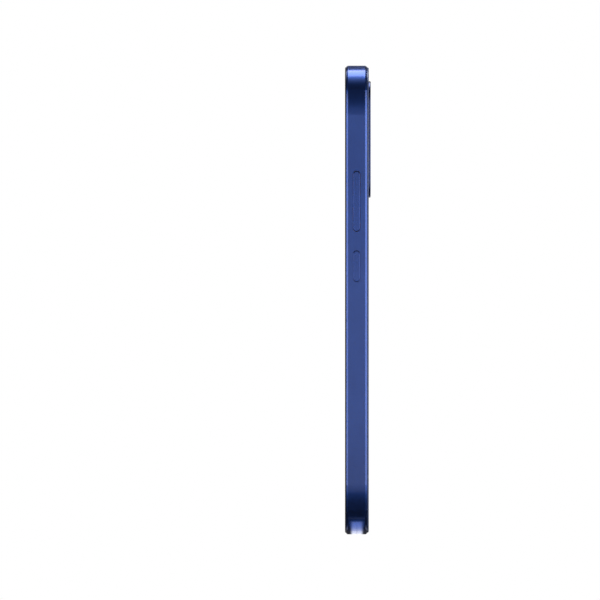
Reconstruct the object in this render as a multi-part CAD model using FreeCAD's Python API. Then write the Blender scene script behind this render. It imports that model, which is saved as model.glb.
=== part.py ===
import FreeCAD, Part
import math
import os

# A smartphone standing on its bottom end. Millimetres.
# +Z runs from the bottom end to the top end, -Y is the display side, +Y the camera side,
# and +X the edge that carries the keys. The origin is the middle of the bottom end.

V = FreeCAD.Vector

# ---------------------------------------------------------------- driving dimensions
height = 165.6
width = 76.6
thickness = 8.4

# Plan corners: a small arc between two wide ones.
corner_wide_r = 34.0
corner_tight_r = 10.5
corner_wide_turn = 15.0

# Stack from the display side
glass_t = 0.6
glass_proud = 0.5
glass_edge_r = 0.45
panel_t = 0.7
cushion_t = 0.15
mid_plate_t = 0.6
bond_t = 0.1

# Stack at the back
cover_t = 0.7
cover_proud = 0.6
cover_edge_r = 0.5
graphite_t = 0.15
graphite_side_gap = 12.0
graphite_low_gap = 9.0
graphite_high_gap = 5.0
graphite_r = 1.5

# Side frame
rail_wall = 2.2
front_bevel_depth = 0.55
front_bevel_in = 0.3
back_bevel_depth = 0.65
back_bevel_in = 0.4
lip_t = 0.15
pane_gap = 0.06
display_opening = 1.7
panel_in = 0.2
cushion_in = 1.2
flange_reach = 3.4
flange_t = 0.6
foot_flat = 0.05

# General clearances
fit_gap = 0.05
slide_gap = 0.1
air_gap = 0.3

# Bays
upper_bay = 46.0
lower_bay = 31.0
bay_gap = 1.0

# Side keys, measured down from the top end
key_width = 2.4
key_proud = 0.4
key_slot_gap = 0.12
key_edge_r = 0.3
key_cap_depth = 1.25
key_flange_t = 0.5
key_flange_reach = 0.6
volume_from_top = 37.2
volume_length = 21.4
power_from_top = 65.3
power_length = 11.1
key_travel = 0.25
rocker_tab = 4.0
plunger_r = 0.8
dome_r = 1.3
dome_t = 0.35
key_flex_t = 0.15
key_bracket_t = 0.4
key_core_in = 0.3
volume_plunger_out = 7.5
key_strip_past = 2.0
key_strip_half = 2.0
key_flex_half = 1.4
key_foot_width = 1.6
key_foot_t = 0.5
key_foot_past = 4.0

# Camera island
island_from_top = 5.5
island_from_side = 5.5
island_width = 31.0
island_height = 41.2
island_corner_r = 6.5
island_proud = 0.68
island_edge_r = 0.35
island_flange_reach = 0.8
island_flange_t = 0.3
lens_pitch = 11.8
lens_column_in = 9.2
small_column_in = 7.2
lens_ring_r = 5.2
lens_ring_wall = 0.8
window_t = 0.6
window_sunk = 0.12
small_ring_r = 2.9
flash_r = 2.6
bore_lip = 0.5
seat_gap = 0.02

# Camera modules
main_camera_size = 11.4
main_barrel_r = 3.5
barrel_gap = 0.05
focus_travel = 0.3
wide_camera_size = 9.4
macro_camera_size = 8.0
depth_camera_size = 6.0
front_camera_size = 6.2
front_camera_r = 1.7
front_camera_from_top = 7.2
front_camera_gap = 0.15
punch_hole_r = 1.95
flash_led_size = 3.2
flash_chip_t = 1.2
flash_holder_rim = 1.0
can_corner_r = 0.4
wide_barrel_r = 3.3
macro_barrel_r = 2.9
depth_barrel_r = 1.4
camera_base_t = 1.6
fixed_can_drop = 1.0
fixed_barrel_proud = 1.5
cone_t = 1.2
main_cone_r = (1.3, 2.3)
fixed_cone_t = 0.8
front_cone_r = (1.1, 0.5)
front_cone_t = 0.5
camera_ribbon_widths = (4.0, 4.0, 3.5)

# Boards
board_t = 0.8
sub_board_t = 0.7
sub_board_gap = 0.6
sub_board_top_gap = 4.0
board_edge_gap = 0.5
lane_start = 3.0
board_standoff = 1.95
boss_r = 1.8
screw_r = 0.7
screw_head_r = 1.3
screw_drive_r = 0.5
screw_head_t = 0.4
screw_head_sunk = 0.25
screw_grip = 3.2
bracket_t = 0.65
bracket_air = 0.3
bracket_step = 0.4
bracket_arm = 8.2
connector_t = 0.7
connector_length = 3.4
connector_set_back = 5.6
board_low_gap = 0.8
board_top_gap = 4.8
can_skin = 0.15
shield_r = 0.8
can_bracket_gap = 0.2
front_chip_t = 0.9
rear_chip_t = 1.12
pad_t = 0.25
pad_in = 3.0
receiver_r = 1.0
nfc_in = (11.0, 7.0, 6.0, 13.0)
nfc_r = 2.0

# USB-C socket
usb_width = 8.94
usb_depth = 3.2
usb_wall = 0.3
usb_length = 7.6
usb_set_back = 0.3
usb_leg = 1.3
usb_leg_length = 1.4
usb_leg_drop = 0.4
usb_leg_from_wall = 1.8
usb_leg_from_end = 2.0
tongue_set_back = 1.2
tongue_block_t = 1.5
tongue_root = 1.0
tongue_width = 6.7
tongue_t = 0.7

# SIM tray
tray_x = -16.5
tray_head_length = 12.6
tray_head_width = 2.6
tray_head_t = 1.4
tray_head_sunk = 0.05
tray_plate_shift = 0.65
tray_joint = 0.2
tray_seal_t = 0.35
tray_width = 9.9
tray_t = 0.9
tray_length = 16.0
sim_width = 8.9
sim_length = 12.4
sim_t = 0.68
tray_window_margin = 1.0
tray_window_length = 8.0
seal_in = 0.05
socket_wall = 0.2
socket_end_gap = 0.4
lever_tab_reach = 1.6
lever_tab_past = 1.2
rod_guide_reach = 0.8
rod_guide_t = 1.0
rod_guide_from_end = 3.0
eject_from_end = 1.15
eject_hole_r = 0.45
eject_rod_r = 0.38
eject_rod_back = 0.2
lever_t = 0.5
lever_height = 1.3
lever_pin_r = 0.35
lever_arm = 2.85
lever_end = 0.3
lever_stroke_room = 1.0

# Loudspeaker
speaker_hole_r = 0.65
speaker_holes = 6
speaker_pitch = 2.1
speaker_first_x = 9.6
speaker_mesh_t = 0.15
diaphragm_t = 0.2
diaphragm_travel = 0.3
coil_wall = 0.35
coil_half_x = 4.5
coil_half_z = 3.5
coil_t = 1.4
port_margin = 1.0
port_half = 0.8
mesh_half = 1.0
speaker_gap = 2.4
speaker_side_gap = 0.35
speaker_well_in = (3.4, 5.6)
speaker_well_z0 = 11.0
speaker_well_top_gap = 5.0
speaker_floor_t = 0.8
speaker_roof_t = 0.6
speaker_top_gap = 2.0
well_r = 2.0
cone_gap = 0.4
cone_r = 1.6
coil_r = 1.4
magnet_t = 0.6
magnet_r = 1.4
magnet_gap = 0.3

# Microphones and earpiece
mic_hole_r = 0.4
bottom_mic_x = -7.3
top_mic_x = 9.0
earpiece_length = 12.0
earpiece_slot = 0.6
earpiece_from_edge = 1.1
earpiece_channel_t = 1.0
earpiece_mesh_sunk = 0.2
receiver_length = 6.4
receiver_height = 5.8
mic_half = 1.6
mic_length = 2.0
mic_depth = 0.6

# Vibration motor
boot_t = 0.3
motor_length = 6.2
weight_length = 3.0
motor_shaft_r = 0.35
motor_from_side = 5.9
motor_air = 0.5
motor_above_socket = 1.0
motor_edge_r = 0.2
motor_end_gap = 1.35
weight_gap = 0.25
weight_flat = 0.6
shaft_cup = 1.5
shaft_end = 0.3
boot_in = 0.6

# Battery
battery_left_gap = 5.1
battery_right_gap = 4.3
battery_edge_r = 0.8
battery_fold = 3.2
battery_board_t = 1.2
battery_board_in = 4.0
battery_tail = (-22.0, -15.0)
tail_reach = 5.4
battery_tape_t = 0.15
battery_tape_half = 4.0
battery_tape_out = 18.5
battery_tape_in = 2.0

# Ribbons and cable
ribbon_t = 0.12
display_flex_gaps = (2.0, 3.0)
flex_step = 0.2
flex_tail = 6.0
flex_low_tail = 12.0
flex_in = 0.3
flex_x0 = -13.8
flex_width = 7.6
coax_r = 0.42
coax_socket_r = 1.0
coax_socket_t = 0.45
arc_share = 0.45

# How far a cutting tool runs past what it cuts
past = 1.0

# ---------------------------------------------------------------- stations along Y
front_face = -thickness / 2
back_face = thickness / 2
rail_front = front_face + glass_proud
rail_back = back_face - cover_proud
glass_back = front_face + glass_t
front_ledge = glass_back + bond_t
panel_back = glass_back + panel_t
plate_front = panel_back + cushion_t
floor = plate_front + mid_plate_t
flange_back = floor + flange_t
cover_front = back_face - cover_t
back_ledge = cover_front - bond_t
rail_mid = (rail_front + front_bevel_depth + rail_back - back_bevel_depth) / 2
island_face = back_face + island_proud
ring_seat = cover_front + bond_t
window_back = island_face - window_sunk - window_t
can_back = cover_front - island_flange_t - air_gap
bracket_back = cover_front - island_flange_t - bracket_air
bracket_front = bracket_back - bracket_t
board_front = floor + board_standoff
board_back = board_front + board_t

# ---------------------------------------------------------------- stations along X and Z
side = width / 2
inner_side = side - rail_wall
front_lip_in = front_bevel_in + lip_t
glass_in = front_lip_in + pane_gap
back_lip_in = back_bevel_in + lip_t
cover_in = back_lip_in + pane_gap
upper_floor = height - upper_bay
volume_z = height - volume_from_top - volume_length / 2
power_z = height - power_from_top - power_length / 2
island_right = side - island_from_side
island_left = island_right - island_width
island_top = height - island_from_top
island_bottom = island_top - island_height
lens_x = island_right - lens_column_in
small_x = island_left + small_column_in
island_mid_z = (island_top + island_bottom) / 2
main_z = island_mid_z + lens_pitch
wide_z = island_mid_z
macro_z = island_mid_z - lens_pitch
flash_z = island_mid_z + lens_pitch / 2
depth_z = island_mid_z - lens_pitch / 2
board_right = island_left - air_gap
front_camera_z = height - front_camera_from_top
board_in = flange_reach + 2 * coax_r + air_gap
coax_low = (-side + 7.6, 14.6)
coax_high = (-side + 7.3, upper_floor + 9.4)
earpiece_z0 = height - glass_in - earpiece_from_edge
earpiece_z1 = earpiece_z0 + earpiece_slot
receiver_z1 = height - flange_reach - slide_gap * 2

# The plan corner: its reach from the straight end, and how far in its tight arc is centred
wide_turn = math.radians(corner_wide_turn)
corner_reach = (
    corner_wide_r * math.sin(wide_turn)
    + corner_tight_r * (math.cos(wide_turn) - math.sin(wide_turn))
    + corner_wide_r * (1.0 - math.cos(wide_turn))
)
corner_centre_in = corner_reach - (corner_wide_r - corner_tight_r) * math.sin(wide_turn)


# ---------------------------------------------------------------- shape helpers
def block(x0, x1, y0, y1, z0, z1):
    return Part.makeBox(x1 - x0, y1 - y0, z1 - z0, V(x0, y0, z0))


def rod(axis, centre, r, low, high):
    """A cylinder along an axis; centre holds its two other coordinates in X, Y, Z order."""
    a, b = centre
    start = {"x": V(low, a, b), "y": V(a, low, b), "z": V(a, b, low)}[axis]
    direction = {"x": V(1, 0, 0), "y": V(0, 1, 0), "z": V(0, 0, 1)}[axis]
    return Part.makeCylinder(r, high - low, start, direction)


def joined(solids):
    first = solids[0]
    if len(solids) > 1:
        first = first.fuse(solids[1:])
    return first.removeSplitter()


def group(solids):
    return Part.makeCompound(solids)


def plan_corner(inset):
    """Start, arcs and end of the corner towards +X and +Z, as (start, middle, end) points."""
    tight_turn = math.pi / 2 - 2 * wide_turn
    x, z = side - corner_wide_r, height - corner_reach
    arcs = []
    angle = 0.0
    radius = corner_wide_r
    steps = [
        (wide_turn, corner_tight_r),
        (tight_turn, corner_wide_r),
        (wide_turn, corner_wide_r),
    ]
    for sweep, next_radius in steps:
        points = []
        for part_turn in (0.0, sweep / 2, sweep):
            a = angle + part_turn
            r = radius - inset
            points.append((x + r * math.cos(a), z + r * math.sin(a)))
        arcs.append(points)
        angle += sweep
        x += (radius - next_radius) * math.cos(angle)
        z += (radius - next_radius) * math.sin(angle)
        radius = next_radius
    return arcs


def outline(inset, y):
    """The plan outline of the phone, moved inwards by inset, as a closed wire at height y."""
    corner = plan_corner(inset)
    arcs = []
    for sx, top in ((1, True), (-1, True), (-1, False), (1, False)):
        mirrored = [[(sx * x, z if top else height - z) for x, z in arc] for arc in corner]
        if (sx > 0) != top:
            mirrored = [arc[::-1] for arc in mirrored[::-1]]
        arcs += mirrored
    edges = []
    for i, arc in enumerate(arcs):
        start, middle, end = (V(x, y, z) for x, z in arc)
        last = V(arcs[i - 1][2][0], y, arcs[i - 1][2][1])
        if last.distanceToPoint(start) > 1e-6:
            edges.append(Part.LineSegment(last, start).toShape())
        edges.append(Part.Arc(start, middle, end).toShape())
    return Part.Wire(edges)


def wall_top(x):
    """Where the inner face of the bottom wall is at x, out on the corner's wide arc too."""
    out = max(abs(x) - (side - corner_reach), 0.0)
    r = corner_wide_r - rail_wall
    return rail_wall + r - math.sqrt(r * r - out * out)


def slab(inset, y0, y1):
    return Part.Face(outline(inset, y0)).extrude(V(0, y1 - y0, 0))


def bevelled_slab(inset0, y0, inset1, y1):
    return Part.makeLoft([outline(inset0, y0), outline(inset1, y1)], True, True)


def rounded_plate(x0, x1, z0, z1, y0, y1, r):
    solid = block(x0, x1, y0, y1, z0, z1)
    corners = [e for e in solid.Edges if abs(e.BoundBox.YLength - (y1 - y0)) < 1e-6]
    return solid.makeFillet(r, corners)


def pill(axis, centre, length, breadth, low, high, grow=0.0):
    """A stadium prism. Along x it is long in Z; along y and z it is long in X."""
    length, breadth = length + 2 * grow, breadth + 2 * grow
    half, r = (length - breadth) / 2, breadth / 2
    a, b = centre
    if axis == "x":
        ends = [rod("x", (a, b - half), r, low, high), rod("x", (a, b + half), r, low, high)]
        middle = block(low, high, a - r, a + r, b - half, b + half)
    elif axis == "y":
        ends = [rod("y", (a - half, b), r, low, high), rod("y", (a + half, b), r, low, high)]
        middle = block(a - half, a + half, low, high, b - r, b + r)
    else:
        ends = [rod("z", (a - half, b), r, low, high), rod("z", (a + half, b), r, low, high)]
        middle = block(a - half, a + half, b - r, b + r, low, high)
    return joined([middle] + ends)


def outer_edges(solid, axis, value):
    """Edges of a solid that lie in the plane where the coordinate has this value."""
    low, high = {"x": ("XMin", "XMax"), "y": ("YMin", "YMax"), "z": ("ZMin", "ZMax")}[axis]
    picked = []
    for edge in solid.Edges:
        box = edge.BoundBox
        if abs(getattr(box, low) - value) < 1e-4 and abs(getattr(box, high) - value) < 1e-4:
            picked.append(edge)
    return picked


def ring(axis, centre, outer_r, inner_r, low, high):
    bore = rod(axis, centre, inner_r, low - past, high + past)
    return rod(axis, centre, outer_r, low, high).cut(bore)


def square_module(x, z, size, y0, y1):
    half = size / 2
    return rounded_plate(x - half, x + half, z - half, z + half, y0, y1, can_corner_r)


def column(x_half, z0, z1, y0, y1, x=0.0):
    """A block centred at x."""
    return block(x - x_half, x + x_half, y0, y1, z0, z1)


# ---------------------------------------------------------------- side keys
key_face = side + key_proud
cap_inner = side - key_cap_depth
key_flange_inner = cap_inner - slide_gap - key_flange_t
bracket_x1 = side - flange_reach
bracket_x0 = bracket_x1 - key_bracket_t
flex_x1 = bracket_x1 + key_flex_t
dome_x1 = flex_x1 + dome_t
plunger_tip = dome_x1 + key_travel + fit_gap
volume_plunger_z = [volume_z - volume_plunger_out, volume_z + volume_plunger_out]


def key_cap(z, length):
    cap = pill("x", (rail_mid, z), length, key_width, cap_inner - slide_gap, key_face)
    return cap.makeFillet(key_edge_r, outer_edges(cap, "x", key_face))


def volume_key():
    """A rocker that tips about the tabs at its middle; its pegs sit on two domes."""
    tab = block(
        key_flange_inner,
        cap_inner - slide_gap,
        rail_mid - key_width / 2 - key_flange_reach,
        rail_mid + key_width / 2 + key_flange_reach,
        volume_z - rocker_tab / 2,
        volume_z + rocker_tab / 2,
    )
    core = pill(
        "x",
        (rail_mid, volume_z),
        volume_length,
        key_width,
        key_flange_inner,
        cap_inner,
        -key_core_in,
    )
    pegs = [rod("x", (rail_mid, z), plunger_r, plunger_tip, cap_inner) for z in volume_plunger_z]
    return joined([key_cap(volume_z, volume_length), tab, core] + pegs)


def power_key():
    """A push key with a flange all round that stops against the wall of the frame."""
    flange = pill(
        "x",
        (rail_mid, power_z),
        power_length,
        key_width,
        key_flange_inner,
        cap_inner - slide_gap,
        key_flange_reach,
    )
    peg = rod("x", (rail_mid, power_z), plunger_r, plunger_tip, cap_inner)
    return joined([key_cap(power_z, power_length), flange, peg])


def key_cuts():
    cuts = []
    for z, length in ((volume_z, volume_length), (power_z, power_length)):
        slot = pill(
            "x",
            (rail_mid, z),
            length,
            key_width,
            inner_side - past,
            side + past,
            key_slot_gap,
        )
        pocket = pill(
            "x",
            (rail_mid, z),
            length,
            key_width,
            inner_side - past,
            cap_inner,
            key_flange_reach + key_slot_gap,
        )
        cuts += [slot, pocket]
    return cuts


key_strip_low = power_z - power_length / 2 - key_strip_past
key_strip_high = volume_z + volume_length / 2 + key_strip_past


def key_bracket():
    """The strip behind the dome switches, with a foot that stands on the mid plate."""
    strip = block(
        bracket_x0,
        bracket_x1,
        flange_back,
        rail_mid + key_strip_half,
        key_strip_low,
        key_strip_high,
    )
    foot = block(
        bracket_x0 - key_foot_width,
        bracket_x0,
        floor,
        flange_back + key_foot_t,
        power_z - key_foot_past,
        volume_z + key_foot_past,
    )
    return joined([strip, foot])


def key_flex():
    return block(
        bracket_x1,
        flex_x1,
        rail_mid - key_flex_half,
        rail_mid + key_flex_half,
        key_strip_low + key_strip_past / 2,
        key_strip_high - key_strip_past / 2,
    )


def key_domes():
    places = [power_z] + volume_plunger_z
    return group([rod("x", (rail_mid, z), dome_r, flex_x1, dome_x1) for z in places])


# ---------------------------------------------------------------- bottom end
usb_z0 = usb_set_back
usb_z1 = usb_z0 + usb_length
tray_y0 = rail_mid - tray_t / 2
tray_y1 = rail_mid + tray_t / 2
tray_x0 = tray_x - tray_width / 2 - tray_plate_shift
tray_x1 = tray_x0 + tray_width
tray_end = tray_head_t + tray_length
eject_x = tray_x + tray_head_length / 2 - eject_from_end
socket_x0 = tray_x0 - slide_gap - socket_wall
socket_x1 = tray_x1 + slide_gap + socket_wall
socket_y0 = tray_y0 - slide_gap - socket_wall
socket_y1 = tray_y1 + slide_gap + socket_wall
socket_z0 = wall_top(socket_x0) + slide_gap
socket_z1 = tray_end + socket_end_gap
lever_x = eject_x - lever_arm
lever_z = tray_end + lever_stroke_room + lever_height / 2
sub_front = socket_y1
sub_back = sub_front + sub_board_t
speaker_xs = [speaker_first_x + i * speaker_pitch for i in range(speaker_holes)]
speaker_port_x0 = speaker_xs[0] - port_margin
speaker_port_x1 = speaker_xs[-1] + port_margin
speaker_mesh_z0 = wall_top(speaker_port_x1)
sub_right = speaker_first_x - speaker_gap


def usb_opening(grow, z0, z1):
    return pill("z", (0, rail_mid), usb_width, usb_depth, z0, z1, grow)


def usb_shell():
    tube = usb_opening(0, usb_z0, usb_z1)
    bore = usb_opening(-usb_wall, usb_z0 - past, usb_z1 - usb_wall)
    legs = []
    for x in (-usb_width / 2, usb_width / 2):
        for z in (rail_wall + usb_leg_from_wall, usb_z1 - usb_leg_from_end):
            legs.append(
                column(usb_leg / 2, z, z + usb_leg_length, sub_front - usb_leg_drop, sub_front, x)
            )
    return joined([tube] + legs).cut(bore)


def usb_tongue():
    """The contact tongue and the moulded block that closes the shell behind it."""
    end = usb_z1 - usb_wall
    back = usb_opening(-usb_wall - fit_gap, end - tongue_block_t, end)
    tongue = column(
        tongue_width / 2,
        usb_z0 + tongue_set_back,
        end - tongue_root,
        rail_mid - tongue_t / 2,
        rail_mid + tongue_t / 2,
    )
    return joined([back, tongue])


def tray_head(grow, z0, z1):
    return pill("z", (tray_x, rail_mid), tray_head_length, tray_head_width, z0, z1, grow)


def tray_lane(z0, z1):
    """The channel that the tray's plate slides in."""
    return block(
        tray_x0 - slide_gap,
        tray_x1 + slide_gap,
        tray_y0 - slide_gap,
        tray_y1 + slide_gap,
        z0,
        z1,
    )


def sim_tray():
    head = tray_head(0, 0, tray_head_t).common(slab(tray_head_sunk, rail_front, rail_back))
    plate = block(tray_x0, tray_x1, tray_y0, tray_y1, tray_head_t - tray_joint, tray_end)
    pocket_x0 = (tray_x0 + tray_x1 - sim_width) / 2
    pocket_x1 = pocket_x0 + sim_width
    pocket_z1 = tray_end - (tray_width - sim_width) / 2
    pocket = block(
        pocket_x0, pocket_x1, tray_y1 - sim_t, tray_y1 + past, pocket_z1 - sim_length, pocket_z1
    )
    window_z1 = pocket_z1 - tray_window_margin
    window = block(
        pocket_x0 + tray_window_margin,
        pocket_x1 - tray_window_margin,
        tray_y0 - past,
        tray_y1,
        window_z1 - tray_window_length,
        window_z1,
    )
    hole = rod("z", (eject_x, rail_mid), eject_hole_r, -past, tray_head_t + past)
    return joined([head, plate]).cut(pocket).cut(window).cut(hole)


def sim_tray_seal():
    z0, z1 = tray_head_t, tray_head_t + tray_seal_t
    band = tray_head(-seal_in, z0, z1)
    neck = block(
        tray_x0 - seat_gap,
        tray_x1 + seat_gap,
        tray_y0 - seat_gap,
        tray_y1 + seat_gap,
        z0 - past,
        z1 + past,
    )
    hole = rod("z", (eject_x, rail_mid), eject_hole_r, z0 - past, z1 + past)
    return band.cut(neck).cut(hole)


def sim_socket():
    """The cage around the tray, with the lever's pin and the rod's guide."""
    shell = block(socket_x0, socket_x1, socket_y0, socket_y1, socket_z0, socket_z1)
    tab = block(
        lever_x - lever_tab_reach,
        socket_x1,
        socket_y1 - socket_wall,
        socket_y1,
        socket_z1,
        lever_z + lever_tab_past,
    )
    pin = rod("y", (lever_x, lever_z), lever_pin_r, socket_y0, socket_y1)
    guide_z1 = socket_z1 - rod_guide_from_end
    guide = block(
        socket_x1,
        eject_x + rod_guide_reach,
        socket_y0,
        socket_y1,
        guide_z1 - rod_guide_t,
        guide_z1,
    )
    channel = tray_lane(socket_z0 - past, socket_z1 + past)
    bore = rod("z", (eject_x, rail_mid), eject_hole_r, socket_z0, socket_z1)
    return joined([shell, guide]).cut(channel).cut(bore).fuse([tab, pin]).removeSplitter()


def bottom_cuts():
    neck_z1 = flange_reach + past
    cuts = [
        usb_opening(fit_gap, -past, usb_z1 + past),
        tray_head(slide_gap, -past, tray_head_t + tray_seal_t + slide_gap),
        tray_lane(0, neck_z1),
        rod("z", (eject_x, rail_mid), eject_hole_r, 0, neck_z1),
        rod("z", (bottom_mic_x, rail_mid), mic_hole_r, -past, rail_wall + past),
    ]
    holes = [rod("z", (x, rail_mid), speaker_hole_r, -past, rail_wall + past) for x in speaker_xs]
    return cuts + holes


# ---------------------------------------------------------------- top end
def earpiece_cut(y0, y1, grow=0.0):
    """The earpiece slot through the pane, the bond and the ledge behind it."""
    half = earpiece_length / 2 + grow
    return column(half, earpiece_z0 - grow, earpiece_z1 + grow, y0, y1)


def top_cuts():
    across = column(
        earpiece_length / 2,
        height - flange_reach - past,
        earpiece_z1,
        rail_mid - earpiece_channel_t,
        rail_mid,
    )
    mic = rod("z", (top_mic_x, rail_mid), mic_hole_r, height - rail_wall - past, height + past)
    return [earpiece_cut(front_ledge - past, rail_mid), across, mic]


# ---------------------------------------------------------------- structure
upper_screws = [
    (-side + 7.8, height - 9.1),
    (-side + 7.8, upper_floor + 4.4),
    (board_right - 4.0, upper_floor + 3.4),
    (side - corner_centre_in + 1.7, height - 6.6),
]
lower_screws = [
    (-side + 9.0, 9.0),
    (sub_right - 3.0, lower_bay - 6.0),
    (side - 5.2, lower_bay - 6.0),
    (side - 8.6, 9.0),
]


def side_frame():
    front = rail_front + front_bevel_depth
    back = rail_back - back_bevel_depth
    body = joined([
        bevelled_slab(front_bevel_in, rail_front, 0, front),
        slab(0, front, back),
        bevelled_slab(0, back, back_bevel_in, rail_back),
    ])
    # The foot is milled flat, a hair into the corner arcs
    body = joined([body, body.translated(V(0, 0, -foot_flat))])
    body = body.cut(block(-side, side, rail_front - past, rail_back + past, -past, 0))
    hollows = [
        slab(front_lip_in, rail_front - past, front_ledge),
        slab(display_opening, front_ledge, floor),
        slab(flange_reach, floor, flange_back),
        slab(rail_wall, flange_back, back_ledge),
        slab(back_lip_in, back_ledge, rail_back + past),
    ]
    for tool in hollows + key_cuts() + bottom_cuts() + top_cuts():
        body = body.cut(tool)
    return body


def mid_plate():
    """The pressed plate that carries everything, with its screw bosses."""
    plate = slab(display_opening + fit_gap, plate_front, floor)
    plate = plate.cut(front_camera_window(plate_front, floor))
    plate = plate.cut(usb_opening(air_gap, -past, usb_z1 + air_gap))
    screws = upper_screws + lower_screws
    plate = joined([plate] + [rod("y", at, boss_r, plate_front, bracket_front) for at in screws])
    for at in screws:
        plate = plate.cut(
            rod("y", at, screw_r, bracket_front - screw_grip, bracket_front + past)
        )
    return plate


def front_camera_window(y0, y1):
    """The square opening that the front camera stands in."""
    half = front_camera_size / 2 + air_gap
    return column(half, front_camera_z - half, front_camera_z + half, y0 - past, y1 + past)


def bracket_screws():
    screws = []
    for x, z in upper_screws + lower_screws:
        tip = bracket_front - screw_grip + air_gap
        shank = rod("y", (x, z), screw_r - seat_gap, tip, bracket_back)
        seat = bracket_back - screw_head_sunk
        head = rod("y", (x, z), screw_head_r, seat, seat + screw_head_t)
        drive = rod("y", (x, z), screw_drive_r, seat + screw_head_t / 2, seat + past)
        screws.append(joined([shank, head]).cut(drive))
    return group(screws)


def screw_holes(places):
    """Through holes with a counterbore for each screw's head."""
    holes = [rod("y", at, screw_r + fit_gap, front_face, back_face) for at in places]
    seat = bracket_back - screw_head_sunk
    return holes + [rod("y", at, screw_head_r + fit_gap, seat, back_face) for at in places]


def boss_holes(places):
    return [rod("y", at, boss_r + air_gap, front_face, back_face) for at in places]


# ---------------------------------------------------------------- display and back cover
def display_glass():
    pane = slab(glass_in, front_face, glass_back)
    pane = pane.makeFillet(glass_edge_r, outer_edges(pane, "y", front_face))
    return pane.cut(earpiece_cut(front_face - past, glass_back + past))


def earpiece_mesh():
    return earpiece_cut(front_face + earpiece_mesh_sunk, glass_back, -fit_gap)


def display_adhesive():
    band = slab(glass_in + slide_gap, glass_back, front_ledge)
    band = band.cut(slab(display_opening, glass_back - past, front_ledge + past))
    half = earpiece_length / 2 + slide_gap * 2
    z0 = earpiece_z0 - slide_gap * 2
    return band.cut(column(half, z0, height, glass_back - past, front_ledge + past))


def display_panel():
    panel = slab(display_opening + panel_in, glass_back, panel_back)
    hole = rod("y", (0, front_camera_z), punch_hole_r, glass_back - past, panel_back + past)
    return panel.cut(hole)


def display_cushion():
    film = slab(display_opening + cushion_in, panel_back, plate_front)
    return film.cut(front_camera_window(panel_back, plate_front))


def display_flex():
    """The ribbon that leaves the panel at its foot and lies on the mid plate."""
    z0, z1 = usb_z1 + display_flex_gaps[0], lower_bay - display_flex_gaps[1]
    return block(flex_x0, 0.0, floor, floor + ribbon_t, z0, z1)


def back_cover():
    cover = slab(cover_in, cover_front, back_face)
    cover = cover.makeFillet(cover_edge_r, outer_edges(cover, "y", back_face))
    return cover.cut(island_outline(fit_gap, cover_front - past, back_face + past))


def back_cover_adhesive():
    band = slab(cover_in + slide_gap, back_ledge, cover_front)
    return band.cut(slab(rail_wall, back_ledge - past, cover_front + past))


def graphite_sheet():
    half = side - graphite_side_gap
    z0, z1 = lower_bay + graphite_low_gap, upper_floor - graphite_high_gap
    y0 = cover_front - graphite_t
    return rounded_plate(-half, half, z0, z1, y0, cover_front, graphite_r)


# ---------------------------------------------------------------- camera island
lens_places = [(lens_x, main_z), (lens_x, wide_z), (lens_x, macro_z)]
small_places = [(small_x, depth_z)]


def island_outline(grow, y0, y1):
    return rounded_plate(
        island_left - grow,
        island_right + grow,
        island_bottom - grow,
        island_top + grow,
        y0,
        y1,
        island_corner_r + grow,
    )


def ring_places():
    places = [(at, lens_ring_r) for at in lens_places]
    return places + [(at, small_ring_r) for at in small_places]


def camera_island():
    plate = island_outline(0, cover_front, island_face)
    plate = plate.makeFillet(island_edge_r, outer_edges(plate, "y", island_face))
    flange = island_outline(island_flange_reach, cover_front - island_flange_t, cover_front)
    body = joined([plate, flange])
    bores = [(at, r, r - lens_ring_wall) for at, r in ring_places()]
    bores.append(((small_x, flash_z), flash_r, flash_r))
    for at, outer_r, inner_r in bores:
        body = body.cut(rod("y", at, outer_r + seat_gap, ring_seat, island_face + past))
        body = body.cut(rod("y", at, inner_r - bore_lip, floor, island_face + past))
    return body


def lens_rings():
    return group([
        ring("y", at, r, r - lens_ring_wall, ring_seat, island_face) for at, r in ring_places()
    ])


def lens_windows():
    windows = []
    for at, r in ring_places():
        windows.append(
            rod("y", at, r - lens_ring_wall - seat_gap, window_back, window_back + window_t)
        )
    return group(windows)


def flash_window():
    return rod("y", (small_x, flash_z), flash_r, ring_seat, island_face - seat_gap)


def flash_led():
    """The flash chip on its holder, which stands on the mid plate."""
    top = cover_front - island_flange_t - slide_gap
    step = top - flash_chip_t
    holder = square_module(small_x, flash_z, flash_led_size + 2 * flash_holder_rim, floor, step)
    chip = square_module(small_x, flash_z, flash_led_size, step, top)
    return joined([holder, chip])


def main_camera_housing():
    """The square can of the main camera, with the bore that its lens barrel slides in."""
    can = square_module(lens_x, main_z, main_camera_size, floor, can_back)
    bore_r = main_barrel_r + barrel_gap
    return can.cut(rod("y", (lens_x, main_z), bore_r, floor + camera_base_t, can_back + past))


def main_camera_barrel():
    low = floor + camera_base_t + slide_gap
    high = window_back - focus_travel - 2 * slide_gap
    barrel = rod("y", (lens_x, main_z), main_barrel_r, low, high)
    inner_r, outer_r = main_cone_r
    start = V(lens_x, high - cone_t, main_z)
    return barrel.cut(Part.makeCone(inner_r, outer_r, cone_t, start, V(0, 1, 0)))


def fixed_camera(x, z, size, barrel_r):
    """A camera with a fixed focus: a square can and a round barrel with a conical mouth."""
    shoulder = can_back - fixed_can_drop
    top = shoulder + fixed_barrel_proud
    body = square_module(x, z, size, floor, shoulder)
    barrel = rod("y", (x, z), barrel_r, floor, top)
    start = V(x, top - fixed_cone_t, z)
    cone = Part.makeCone(barrel_r * 0.35, barrel_r * 0.6, fixed_cone_t, start, V(0, 1, 0))
    return joined([body, barrel]).cut(cone)


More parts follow.
